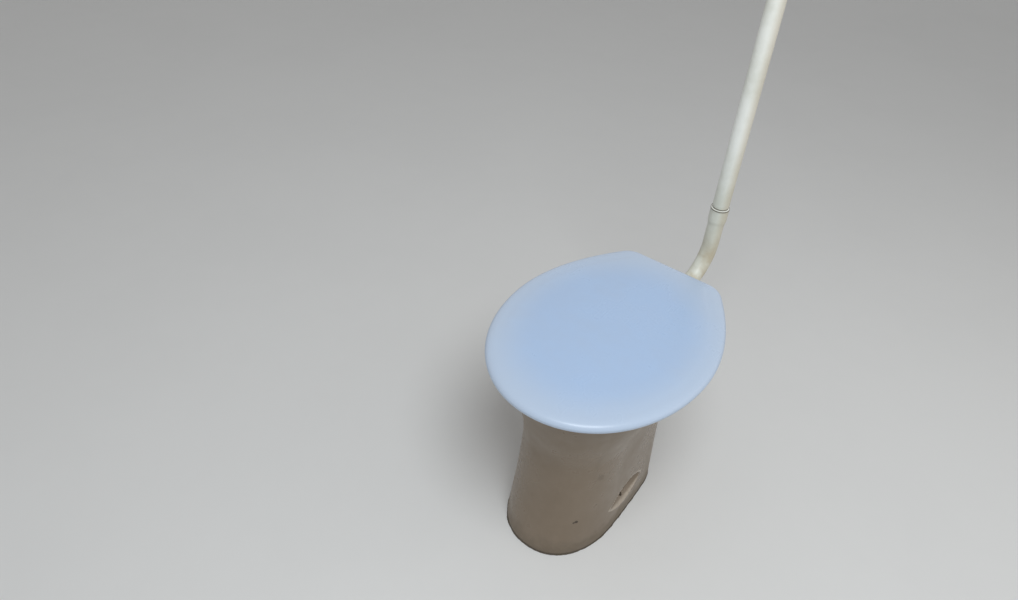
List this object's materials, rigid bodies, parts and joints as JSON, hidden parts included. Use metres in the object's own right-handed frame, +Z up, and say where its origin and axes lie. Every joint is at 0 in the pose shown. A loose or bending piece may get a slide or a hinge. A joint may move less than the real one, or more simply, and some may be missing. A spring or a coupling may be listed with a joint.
{
  "type": "floor-standing toilet",
  "caption": "Floor-standing china toilet pan with seat and hinged lid, horizontal outlet spigot, and a flush bend with a push-fit upright flush pipe behind.",
  "frame": {"origin": "on the floor, midway between the two floor-fixing holes", "axes": "+X to the right of someone facing the pan from its front, +Y back towards the wall, +Z up"},
  "size_m": [0.376, 0.6304, 0.98],
  "materials": {
    "china": "glazed vitreous china, warm off-white, a little worn",
    "seat_plastic": "moulded, glossy, yellowed a little",
    "lid_plastic": "moulded, glossy",
    "hinge_plastic": "moulded",
    "pipe_plastic": "drawn, satin, faint stains",
    "rubber": "moulded",
    "steel": "turned, plated"
  },
  "bodies": {
    "pan_body": {"bowl": "china", "pedestal": "china", "trapway": "china", "outlet_spigot": "china", "seat_ring": "seat_plastic", "seat_buffer_front_left": "rubber", "seat_buffer_front_right": "rubber", "seat_buffer_rear_left": "rubber", "seat_buffer_rear_right": "rubber", "hinge_post_left": "hinge_plastic", "hinge_post_right": "hinge_plastic", "hinge_pin_left": "hinge_plastic", "hinge_pin_right": "hinge_plastic", "hinge_bolt_left": "steel", "hinge_bolt_right": "steel", "deck_washer_left": "rubber", "deck_washer_right": "rubber", "wing_nut_left": "hinge_plastic", "wing_nut_right": "hinge_plastic", "inlet_cone": "rubber", "flush_bend": "pipe_plastic", "socket_seal": "rubber", "flush_pipe": "pipe_plastic"},
    "lid_body": {"lid": "lid_plastic", "lid_buffer_left": "rubber", "lid_buffer_right": "rubber"}
  },
  "joints": [
    {"name": "lid_hinge", "type": "hinge", "parent": "pan_body", "child": "lid_body", "pos_m": [0, 0.228, 0.411], "axis": [-1, 0, 0], "range_deg": [0, 100]}
  ]
}
